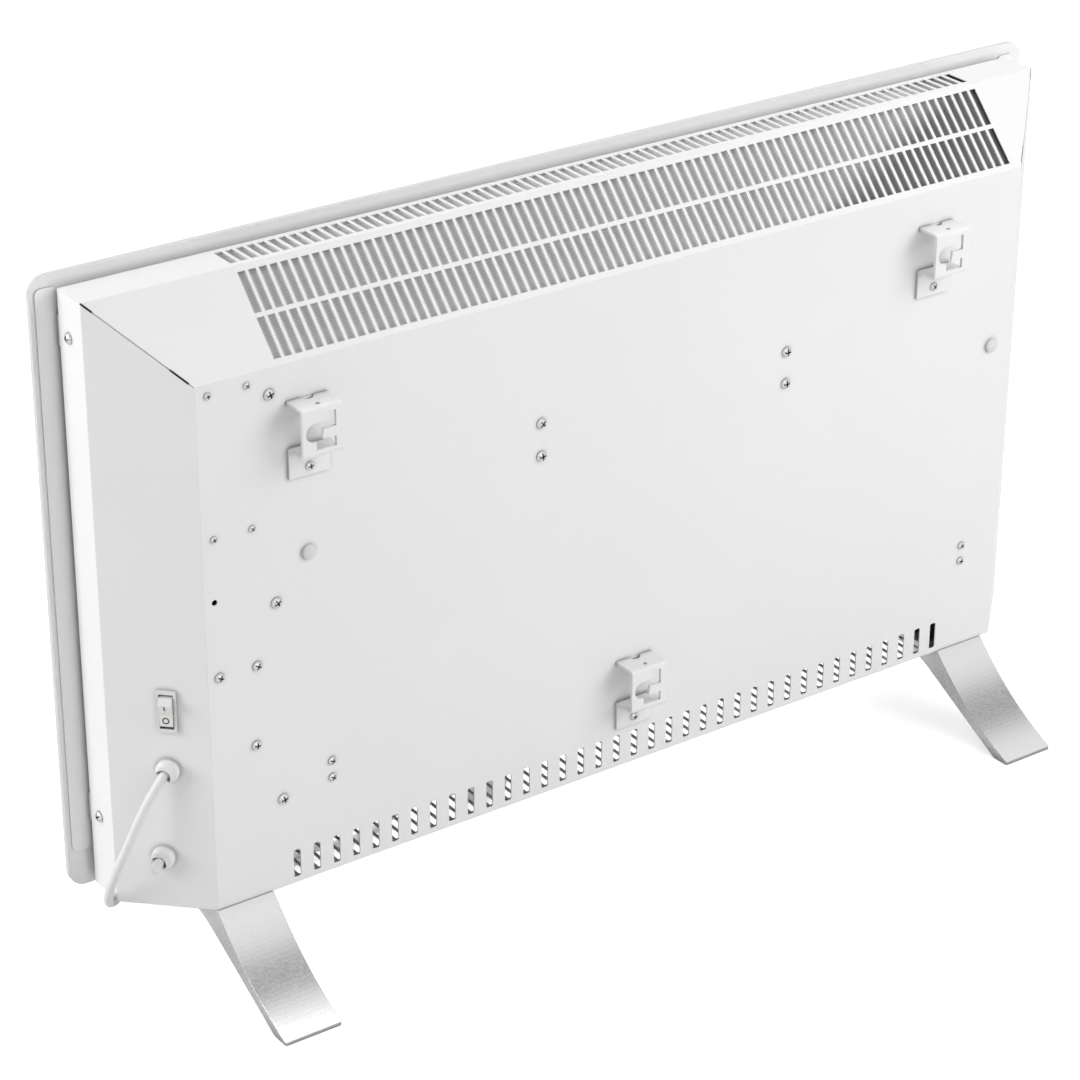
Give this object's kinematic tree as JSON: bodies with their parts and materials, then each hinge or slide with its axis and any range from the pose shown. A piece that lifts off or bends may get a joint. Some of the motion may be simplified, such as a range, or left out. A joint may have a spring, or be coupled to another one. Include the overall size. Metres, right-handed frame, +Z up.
{
  "type": "glass panel convector heater",
  "caption": "Glass-fronted electric convector heater with a folded vented rear cover, wall hooks, arched feet, rocker switch, room sensor and mains lead.",
  "frame": {"origin": "on the floor, midway along the glass's width and midway between the feet's toes", "axes": "+X along the width, towards the switch and lead; +Y backwards, from the glass to the rear cover; +Z up"},
  "size_m": [0.818, 0.2731, 0.4975],
  "materials": {
    "glass": "tempered glass, coated light grey on its back, polished front and ground edge",
    "rail_steel": "smooth satin powder coat, light grey",
    "display_black": "smooth dark touch module behind the glass",
    "zinc_sheet": "bright zinc-coated sheet",
    "white_coat": "fine satin powder coat, white",
    "screen_grey": "fine perforated grey screen",
    "board_green": "green solder mask",
    "white_plastic": "moulded white plastic, fine satin",
    "element_steel": "bright pressed fins on a steel tube",
    "cast_aluminium": "fine satin, silver grey",
    "screw_zinc": "bright zinc-plated",
    "clear_plastic": "clear moulded plastic",
    "switch_white": "semi-gloss moulded white",
    "cord_white": "white flexible sheath, satin",
    "plug_nickel": "nickel-plated pins"
  },
  "bodies": {
    "heater": {"glass_panel": "glass", "rail_right": "rail_steel", "rail_left": "rail_steel", "display_module": "display_black", "front_plate": "zinc_sheet", "rear_cover": "white_coat", "bottom_grille": "white_coat", "vent_screen": "screen_grey", "partition": "zinc_sheet", "control_board": "board_green", "board_posts": "white_plastic", "tip_switch": "white_plastic", "terminal_block": "white_plastic", "heating_element": "element_steel", "element_brackets": "zinc_sheet", "air_guide": "zinc_sheet", "guide_brackets": "zinc_sheet", "wall_hook_right": "white_coat", "wall_hook_left": "white_coat", "wall_hook_lower": "white_coat", "foot_right": "cast_aluminium", "foot_left": "cast_aluminium", "nut_plates": "zinc_sheet", "side_screws": "screw_zinc", "partition_screws": "screw_zinc", "small_screws": "screw_zinc", "hook_screws": "screw_zinc", "foot_screws": "screw_zinc", "wall_bumpers": "clear_plastic", "switch_housing": "switch_white", "cord_bush": "white_plastic", "sensor_bush": "white_plastic", "sensor_probe": "white_plastic", "cord_lead": "cord_white", "cord_coil": "cord_white", "cord_tail": "cord_white", "plug_body": "cord_white", "plug_pins": "plug_nickel"},
    "rocker": {"switch_rocker": "switch_white"}
  },
  "joints": [
    {"name": "rocker_tilt", "type": "hinge", "parent": "heater", "child": "rocker", "pos_m": [0.36028, 0.01942, 0.2095], "axis": [0.7179, -0.6961, 0], "range_deg": [0, 24]}
  ]
}
